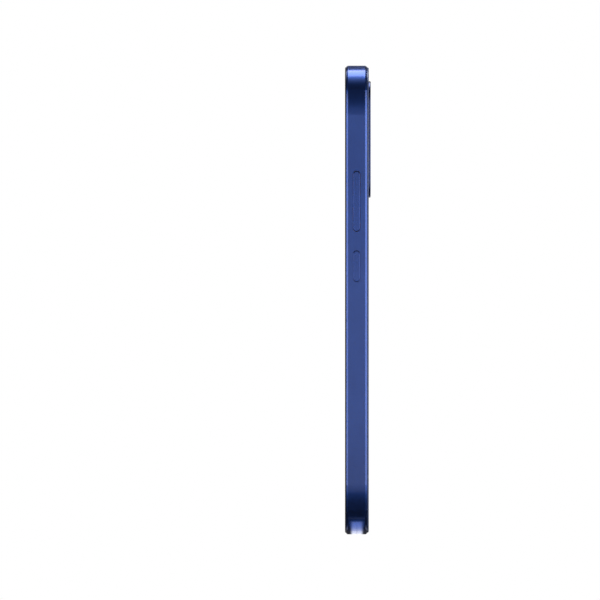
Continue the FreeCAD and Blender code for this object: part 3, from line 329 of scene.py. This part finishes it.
def moulded(name, colour, roughness, pits=3500, depth=0.00001):
    s = Shader(name)
    grain = s.noise(pits, 2.0)
    wide = s.noise(90, 2.0)
    dark = tuple(c * 0.72 for c in colour[:3]) + (1.0,)
    s.set(Base_Color=s.mix((grain * 0.6 + wide * 0.4).rise(0.25, 0.75), dark, colour))
    s.set(Roughness=roughness + wide * 0.14 - 0.07)
    return s.bump(grain, depth, 0.5).material


def circuit_board(name, mask, trace):
    s = Shader(name)
    lanes = s.node(
        "ShaderNodeTexBrick",
        {"offset": 0.5},
        {"Vector": s.place(), "Scale": 420, "Mortar Size": 0.06, "Color1": (0, 0, 0, 1),
         "Color2": (0.35, 0.35, 0.35, 1), "Mortar": (1, 1, 1, 1)},
    )
    specks = s.noise(1200, 1.0).rise(0.62, 0.66)
    base = s.mix(lanes, mask, trace)
    s.set(Base_Color=s.mix(specks, base, srgb(196, 160, 92)), Roughness=0.36)
    s.set(Metallic=specks * 0.9)
    return s.bump(lanes, 0.00002, 0.4).material


def ribbon_film(name, colour):
    s = Shader(name)
    x, y, z = s.axes()
    lines = (x * 9000).sine().rise(-0.2, 0.4)
    deep = tuple(c * 0.45 for c in colour[:3]) + (1.0,)
    s.set(Base_Color=s.mix(lines, deep, colour), Roughness=0.3 + lines * 0.1)
    s.set(Metallic=0.2 + lines * 0.25, Coat_Weight=0.6, Coat_Roughness=0.15)
    return s.bump(lines, 0.00001, 0.3).material


steel = brushed_metal("bright_steel", srgb(196, 196, 192), 0.28)
mesh_metal = brushed_metal("mesh_metal", srgb(64, 66, 72), 0.42)
plate_metal = brushed_metal("plate_metal", srgb(172, 175, 180), 0.36)
magnet_metal = brushed_metal("magnet_metal", srgb(150, 150, 155), 0.3)
gold = brushed_metal("contact_gold", srgb(222, 178, 96), 0.25)
black_plastic = moulded("black_plastic", srgb(34, 34, 37), 0.5)
module_plastic = moulded("module_plastic", srgb(26, 26, 29), 0.42)
chip_plastic = moulded("chip_plastic", srgb(40, 40, 44), 0.55)
rubber = moulded("soft_rubber", srgb(38, 38, 40), 0.75, 2200)
foam = moulded("black_foam", srgb(28, 28, 30), 0.9, 1400, 0.00004)
tape = moulded("adhesive_tape", srgb(44, 44, 48), 0.65, 2600)
graphite = brushed_metal("graphite_film", srgb(62, 62, 66), 0.45)
cable_jacket = moulded("cable_jacket", srgb(24, 24, 26), 0.5, 4000)
panel_film = moulded("panel_film", srgb(30, 31, 40), 0.3, 5000)
diaphragm_film = moulded("diaphragm_film", srgb(58, 56, 52), 0.35, 1800)
board_mask = circuit_board("board_mask", srgb(10, 66, 44), srgb(22, 92, 62))
amber_film = ribbon_film("amber_film", srgb(206, 138, 52))

# %% [markdown]
# ## Battery wrap
#
# A pouch cell is wrapped in black film with a slight orange-peel surface; the folded edges show
# the silvery foil below.

# %% Battery wrap
def battery_wrap():
    s = Shader("battery_wrap")
    low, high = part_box("battery_cell")
    x, y, z = s.axes()
    middle = (low[0] + high[0]) / 2
    half = (high[0] - low[0]) / 2
    fold = ((x - middle).size()).rise(half - 0.0012, half - 0.0009)
    peel = s.noise(700, 3.0)
    wrap = s.mix(peel, srgb(30, 31, 34), srgb(40, 41, 45))
    s.set(Base_Color=s.mix(fold, wrap, srgb(150, 152, 156)), Metallic=fold * 0.8)
    s.set(Roughness=0.42 + peel * 0.12)
    return s.bump(peel, 0.00003, 0.5).material


battery_finish = battery_wrap()

# %% Give each CAD node its material
FINISHES = {
    rail_paint: ["side_frame"],
    key_paint: ["volume_key", "power_key", "sim_tray"],
    island_paint: ["camera_island"],
    cover_finish: ["back_cover"],
    display_glass_finish: ["display_glass"],
    steel: [
        "shield_cans", "usb_shell", "sim_socket", "key_bracket", "key_domes", "eject_rod",
        "eject_lever", "bracket_screws", "vibration_motor_can", "vibration_motor_weight",
    ],
    mesh_metal: ["speaker_mesh", "earpiece_mesh"],
    plate_metal: ["mid_plate"],
    magnet_metal: ["speaker_magnet"],
    black_plastic: ["upper_bracket", "lower_bracket", "speaker_box", "usb_tongue"],
    module_plastic: [
        "main_camera_housing", "main_camera_barrel", "wide_camera", "macro_camera",
        "depth_camera", "front_camera", "flash_led", "earpiece_receiver", "top_microphone",
        "bottom_microphone",
    ],
    chip_plastic: ["board_chips", "board_connectors"],
    rubber: ["sim_tray_seal", "vibration_motor_boot", "thermal_pad"],
    foam: ["display_cushion"],
    tape: ["display_adhesive", "back_cover_adhesive", "battery_adhesive"],
    graphite: ["graphite_sheet"],
    cable_jacket: ["antenna_cable"],
    panel_film: ["display_panel"],
    diaphragm_film: ["speaker_diaphragm"],
    board_mask: ["mainboard", "sub_board", "battery_board"],
    amber_film: ["display_flex", "main_flex", "camera_flexes", "key_flex", "nfc_antenna"],
    battery_finish: ["battery_cell"],
}


def give(piece, material):
    piece.data.materials.clear()
    piece.data.materials.append(material)


for material, names in FINISHES.items():
    for name in names:
        give(nodes[name], material)
print("CAD nodes with a finish:", sum(len(names) for names in FINISHES.values()))

# %% [markdown]
# ## Turned pieces
#
# Lens masks, baffles and glasses are all turned shapes: a short profile spun about the lens axis.
# `turned` takes the profile as (radius, height) pairs, spins it and stands it on the lens axis,
# which runs along Y.

# %% A helper for turned pieces
SPIN_STEPS = 96


def finish_mesh(mesh_data, name, material, body, smooth=True):
    mesh = bpy.data.meshes.new(name)
    mesh_data.to_mesh(mesh)
    mesh_data.free()
    if smooth:
        mesh.shade_smooth()
    piece = bpy.data.objects.new(name, mesh)
    bpy.context.scene.collection.objects.link(piece)
    give(piece, material)
    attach(piece, body)
    return piece


def turned(name, centre, profile, material, body=HOUSING, closed=True):
    """Spins (radius, height) points about the Y axis through centre, an (x, z) pair."""
    x, z = centre
    made = bmesh.new()
    points = [made.verts.new((x + r, y, z)) for r, y in profile]
    edges = [made.edges.new(pair) for pair in zip(points, points[1:])]
    if closed:
        edges.append(made.edges.new((points[-1], points[0])))
    bmesh.ops.spin(
        made,
        geom=points + edges,
        cent=(x, 0, z),
        axis=(0, 1, 0),
        angle=math.tau,
        steps=SPIN_STEPS,
        use_merge=True,
    )
    bmesh.ops.remove_doubles(made, verts=made.verts, dist=1e-7)
    bmesh.ops.recalc_face_normals(made, faces=made.faces)
    piece = finish_mesh(made, name, material, body)
    piece.data.set_sharp_from_angle(angle=math.radians(32))
    return piece


# %% [markdown]
# ## Camera lenses
#
# Each lens is a stack: a bright metal ring in the island, a clear window, a black printed mask
# with a round opening, a stepped black baffle in the mouth of the barrel, and the front element, a
# glass dome whose coating throws back a faint violet, green or amber. We keep the ring and the
# window from the CAD model, and turn the rest.

# %% Lens finishes
def window_glass():
    s = Shader("window_glass")
    haze = s.noise(400, 2.0)
    s.set(Base_Color=s.mix(haze, srgb(6, 7, 10), srgb(12, 13, 18)))
    s.set(Roughness=0.02 + haze * 0.03, Alpha=0.3)
    s.material.surface_render_method = "BLENDED"
    return s.material


def coated_element(name, centre, radius, inner, outer):
    """Dark glass whose colour changes from the middle to the rim, like a lens coating."""
    s = Shader(name)
    x, y, z = s.axes()
    cx, cz = centre
    reach = ((x - cx) * (x - cx) + (z - cz) * (z - cz)).power(0.5) / radius
    pupil = 1 - reach.rise(0.34, 0.42)
    zone = s.mix(reach.rise(0.5, 0.95), inner, outer)
    s.set(Base_Color=s.mix(pupil, zone, srgb(4, 4, 7)), Roughness=0.04)
    s.set(Metallic=0.4, Coat_Weight=1.0, Coat_Roughness=0.02)
    return s.material


def ring_finish():
    s = Shader("ring_finish")
    lathe = s.noise(2600, 2.0)
    s.set(Base_Color=s.mix(lathe, srgb(86, 104, 150), srgb(112, 130, 176)), Metallic=1.0)
    s.set(Roughness=0.2 + lathe * 0.1)
    return s.bump(lathe, 0.000006, 0.4).material


clear_window = window_glass()
bright_ring = ring_finish()
mask_print = moulded("mask_print", srgb(10, 10, 12), 0.22, 6000, 0.000002)
give(nodes["lens_rings"], bright_ring)
give(nodes["lens_windows"], clear_window)

# %% Lens stacks
WINDOW_THICKNESS = 0.0006
WINDOW_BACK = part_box("lens_windows")[1][1] - WINDOW_THICKNESS
BAFFLE_STEPS = 3
BAFFLE_STEP = 0.00013
MASK_THICKNESS = 0.0001
AIR = 0.00002


def middle_of(node):
    low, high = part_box(node)
    return (low[0] + high[0]) / 2, (low[2] + high[2]) / 2


def arc(r, y_rim, rise, steps=10):
    """Points of a dome from its rim to its axis."""
    points = []
    for i in range(steps + 1):
        a = i / steps * math.pi / 2
        points.append((max(r * math.cos(a), 1e-6), y_rim + rise * math.sin(a)))
    return points


class Cone:
    """The conical mouth of a lens barrel: its widest and narrowest radius and its depth."""

    def __init__(self, node, wide, narrow, depth):
        self.centre = middle_of(node)
        self.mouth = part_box(node)[1][1]
        self.wide, self.narrow, self.depth = wide, narrow, depth

    def radius(self, down):
        return self.wide - (self.wide - self.narrow) * down / self.depth


def stepped_ring(name, cone, body):
    """A stepped ring that lines the upper part of a cone."""
    inner = []
    for i in range(BAFFLE_STEPS):
        wall = cone.radius((i + 1) * BAFFLE_STEP) - 0.00005
        inner += [
            (wall, cone.mouth - i * BAFFLE_STEP),
            (wall, cone.mouth - (i + 1) * BAFFLE_STEP),
        ]
    seat = 0.00001
    low = BAFFLE_STEPS * BAFFLE_STEP
    outer = [
        (cone.radius(low) - seat, cone.mouth - low),
        (cone.radius(0) - seat, cone.mouth),
    ]
    turned(name, cone.centre, inner + outer, module_plastic, body)


def lens_stack(name, cone, window_r, opening_r, body, inner, outer):
    back = WINDOW_BACK - AIR
    mask = [
        (opening_r, back),
        (window_r, back),
        (window_r, back - MASK_THICKNESS),
        (opening_r + MASK_THICKNESS, back - MASK_THICKNESS),
    ]
    turned(name + "_mask", cone.centre, mask, mask_print)
    stepped_ring(name + "_baffle", cone, body)
    down = BAFFLE_STEPS * BAFFLE_STEP
    rim_r = cone.radius(down) - 0.00009
    rim_y = cone.mouth - down - AIR
    element = arc(rim_r, rim_y, rim_r * 0.14) + [(1e-6, rim_y - 0.0001), (rim_r, rim_y - 0.0001)]
    finish = coated_element(name + "_coating", cone.centre, rim_r, inner, outer)
    turned(name + "_element", cone.centre, element, finish, body)


VIOLET, TEAL, AMBER = srgb(46, 22, 74), srgb(14, 52, 66), srgb(58, 38, 20)
NIGHT = srgb(7, 8, 14)
BIG_WINDOW_R, SMALL_WINDOW_R = 0.00436, 0.00206
main_cone = Cone("main_camera_barrel", wide=0.0023, narrow=0.0013, depth=0.0012)
wide_cone = Cone("wide_camera", wide=0.00198, narrow=0.00115, depth=0.0008)
macro_cone = Cone("macro_camera", wide=0.00174, narrow=0.00101, depth=0.0008)
depth_cone = Cone("depth_camera", wide=0.00084, narrow=0.00049, depth=0.0008)
lens_stack("main_lens", main_cone, BIG_WINDOW_R, 0.0026, "lens_barrel", VIOLET, TEAL)
lens_stack("wide_lens", wide_cone, BIG_WINDOW_R, 0.0023, HOUSING, TEAL, NIGHT)
lens_stack("macro_lens", macro_cone, BIG_WINDOW_R, 0.002, HOUSING, AMBER, NIGHT)
lens_stack("depth_lens", depth_cone, SMALL_WINDOW_R, 0.0011, HOUSING, NIGHT, TEAL)
print("lens stacks:", 4)

# %% [markdown]
# ## Flash
#
# The flash window is a disc with fine rings pressed in it, pale yellow from the phosphor chip
# below. We turn the ribbed disc and put it in place of the plain CAD one.

# %% Flash
def flash_plastic():
    s = Shader("flash_plastic")
    haze = s.noise(900, 2.0)
    s.set(Base_Color=s.mix(haze, srgb(186, 176, 132), srgb(206, 198, 160)), Roughness=0.22)
    s.set(Coat_Weight=0.5, Coat_Roughness=0.08)
    return s.material


flash_low, flash_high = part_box("flash_window")
flash_r = (flash_high[0] - flash_low[0]) / 2
FLASH_RIBS = 7
RIB_TOP, RIB_FOOT, RIB_SLOPE = 0.00003, 0.00011, 0.00006
ribs = []
for i in range(FLASH_RIBS):
    start_r = flash_r * 0.86 * (1 - i / FLASH_RIBS)
    ribs += [
        (start_r, flash_high[1] - RIB_TOP),
        (start_r - RIB_SLOPE, flash_high[1] - RIB_FOOT),
    ]
flash_profile = [
    (1e-6, flash_low[1]),
    (flash_r, flash_low[1]),
    (flash_r, flash_high[1] - 0.0001),
    (flash_r - 0.0001, flash_high[1]),
    (flash_r * 0.88, flash_high[1]),
] + ribs + [(1e-6, flash_high[1] - 0.00005)]
flash_lens = turned(
    "flash_lens", middle_of("flash_window"), flash_profile, flash_plastic(), HOUSING
)
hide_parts("flash_window")
print("turned pieces made")

# %% [markdown]
# ## Contacts in the USB-C socket
#
# The tongue of the socket carries twelve gold contacts on each face. They are thin strips, so a
# scaled cube per strip is enough; a loop sets them half a millimetre apart.

# %% USB-C contacts
def box_between(made, low, high):
    size = Vector(high) - Vector(low)
    middle = (Vector(high) + Vector(low)) / 2
    matrix = Matrix.Translation(middle) @ Matrix.Diagonal((*size, 1.0))
    bmesh.ops.create_cube(made, size=1.0, matrix=matrix)


tongue_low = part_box("usb_tongue")[0]
shell_low, shell_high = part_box("usb_shell")
TONGUE_HALF = 0.00035
CONTACTS = 12
CONTACT_PITCH = 0.0005
CONTACT_HALF_WIDTH = 0.00012
CONTACT_THICKNESS = 0.00003
CONTACT_START, CONTACT_END = tongue_low[2] + 0.0004, 0.0058
rail_middle_y = (shell_low[1] + shell_high[1]) / 2
made = bmesh.new()
for i in range(CONTACTS):
    x = (i - (CONTACTS - 1) / 2) * CONTACT_PITCH
    x0, x1 = x - CONTACT_HALF_WIDTH, x + CONTACT_HALF_WIDTH
    for side in (-1, 1):
        face = rail_middle_y + side * TONGUE_HALF
        y0, y1 = sorted((face, face + side * CONTACT_THICKNESS))
        box_between(made, (x0, y0, CONTACT_START), (x1, y1, CONTACT_END))
finish_mesh(made, "usb_contacts", gold, HOUSING, smooth=False)
print("contacts:", CONTACTS * 2)

# %% [markdown]
# ## Light and background
#
# The object stands on a pale floor in a white room. Rays from the camera, and rays through glass,
# see plain white. The others see a studio that is white at eye level and dark above it, under a
# large soft lamp overhead and a little behind. A rounded metallic corner mirrors these as a dark
# band and a bright one. Two tall soft lamps at the sides draw the light lines on the bevels, and a
# low card in front brightens the foot.
#
# The floor does for the lower corners what the room does for the upper ones: where the metal
# mirrors it, the floor glows with a painted reflection, a dark card round the object and a bright
# strip just under its edge, which no real card or lamp casts.

# %% World
# Where on the way from straight down (0) over level (0.5) to straight up (1), and how bright
LEVEL_LIGHT = [
    (0.0, 0.8), (0.5, 1.0), (0.53, 0.6), (0.575, 0.2), (0.63, 0.06), (0.93, 0.06), (0.985, 0.6),
    (1.0, 0.9),
]


def studio_world():
    world = bpy.data.worlds.new("studio")
    bpy.context.scene.world = world
    world.use_nodes = True
    tree = world.node_tree
    tree.nodes.clear()
    output = tree.nodes.new("ShaderNodeOutputWorld")
    path = tree.nodes.new("ShaderNodeLightPath")
    place = tree.nodes.new("ShaderNodeTexCoord")
    split = tree.nodes.new("ShaderNodeSeparateXYZ")
    tree.links.new(place.outputs["Generated"], split.inputs[0])
    ramp = tree.nodes.new("ShaderNodeValToRGB")
    while len(ramp.color_ramp.elements) < len(LEVEL_LIGHT):
        ramp.color_ramp.elements.new(0.5)
    for element, (at, grey) in zip(ramp.color_ramp.elements, LEVEL_LIGHT):
        element.position = at
        element.color = (grey, grey, grey, 1)
    to_unit = tree.nodes.new("ShaderNodeMath")
    to_unit.operation = "MULTIPLY_ADD"
    to_unit.inputs[1].default_value = 0.5
    to_unit.inputs[2].default_value = 0.5
    tree.links.new(split.outputs[2], to_unit.inputs[0])
    tree.links.new(to_unit.outputs[0], ramp.inputs[0])
    white = tree.nodes.new("ShaderNodeBackground")
    white.inputs[0].default_value = (1, 1, 1, 1)
    studio = tree.nodes.new("ShaderNodeBackground")
    tree.links.new(ramp.outputs[0], studio.inputs[0])
    seen_plain = tree.nodes.new("ShaderNodeMath")
    seen_plain.operation = "MAXIMUM"
    tree.links.new(path.outputs["Is Camera Ray"], seen_plain.inputs[0])
    tree.links.new(path.outputs["Is Transmission Ray"], seen_plain.inputs[1])
    mix = tree.nodes.new("ShaderNodeMixShader")
    tree.links.new(seen_plain.outputs[0], mix.inputs[0])
    tree.links.new(studio.outputs[0], mix.inputs[1])
    tree.links.new(white.outputs[0], mix.inputs[2])
    tree.links.new(mix.outputs[0], output.inputs[0])


studio_world()


# %% Lamps and floor
def soft_lamp(name, place, aim, width, height, brightness):
    """A rectangular lamp; brightness 1 looks as bright as white paper in plain light."""
    data = bpy.data.lights.new(name, "AREA")
    data.shape = "RECTANGLE"
    data.size, data.size_y = width, height
    data.energy = brightness * math.pi * width * height
    lamp = bpy.data.objects.new(name, data)
    lamp.location = place
    lamp.rotation_euler = (Vector(aim) - Vector(place)).to_track_quat("-Z", "Y").to_euler()
    bpy.context.scene.collection.objects.link(lamp)
    return lamp


top, middle, foot = (0, 0, phone_height), (0, 0, phone_height / 2), (0, 0, 0.03)
soft_lamp("ceiling_lamp", (-0.27, 0, 0.9), top, width=0.8, height=0.62, brightness=4.6)
soft_lamp("back_side_lamp", (0.38, 0.72, 0.12), middle, width=0.3, height=0.6, brightness=3.0)
soft_lamp("display_side_lamp", (0.42, -0.72, 0.12), middle, width=0.25, height=0.6, brightness=3.0)
soft_lamp("foot_card", (0.5, 0, 0.03), foot, width=0.6, height=0.14, brightness=0.4)

FLOOR_HALF = 3.0
FLOOR_BELOW = 0.0002

floor_mesh = bmesh.new()
bmesh.ops.create_grid(floor_mesh, x_segments=1, y_segments=1, size=FLOOR_HALF)
bmesh.ops.translate(floor_mesh, verts=floor_mesh.verts, vec=(0, 0, -FLOOR_BELOW))
floor_data = bpy.data.meshes.new("floor")
floor_mesh.to_mesh(floor_data)
floor_mesh.free()
floor = bpy.data.objects.new("floor", floor_data)
bpy.context.scene.collection.objects.link(floor)


def grey(value):
    return (value, value, value, 1)


def floor_paper_and_painted_reflection():
    """Pale paper. In reflections it glows: a painted dark card round the object and a painted bright
    strip.
    """
    s = Shader("floor_paper_and_painted_reflection")
    fibres = s.noise(500, 3.0)
    s.set(Base_Color=s.mix(fibres, srgb(236, 236, 237), srgb(243, 243, 243)), Roughness=0.9)
    x, y, z = s.axes()
    out = (x.size() - cad_high[0]).most(y.size() - cad_high[1])
    # Painted reflection: glossy rays see a glow, dark round the object and under it, bright in a
    # strip just inside its edge.
    painted_dark_card = out.rise(-0.001, 0.001) * (1 - out.rise(0.08, 0.16))
    painted_bright_strip = out.rise(-0.0055, -0.0045) * (1 - out.rise(-0.0036, -0.0024))
    around = s.mix(painted_dark_card, grey(0.95), grey(0.05))
    seen = s.mix(out.rise(-0.0005, 0.0), grey(0.06), around)
    painted_reflection = s.mix(painted_bright_strip, seen, grey(1.8))
    # The painted glow is seen by glossy rays only; camera and other rays see the pale paper.
    painted_glow = s.tree.nodes.new("ShaderNodeEmission")
    s.feed(painted_glow.inputs[0], painted_reflection)
    path = s.tree.nodes.new("ShaderNodeLightPath")
    mix = s.tree.nodes.new("ShaderNodeMixShader")
    s.tree.links.new(path.outputs["Is Glossy Ray"], mix.inputs[0])
    s.tree.links.new(s.principled.outputs[0], mix.inputs[1])
    s.tree.links.new(painted_glow.outputs[0], mix.inputs[2])
    s.tree.links.new(mix.outputs[0], s.output.inputs[0])
    return s.material


give(floor, floor_paper_and_painted_reflection())
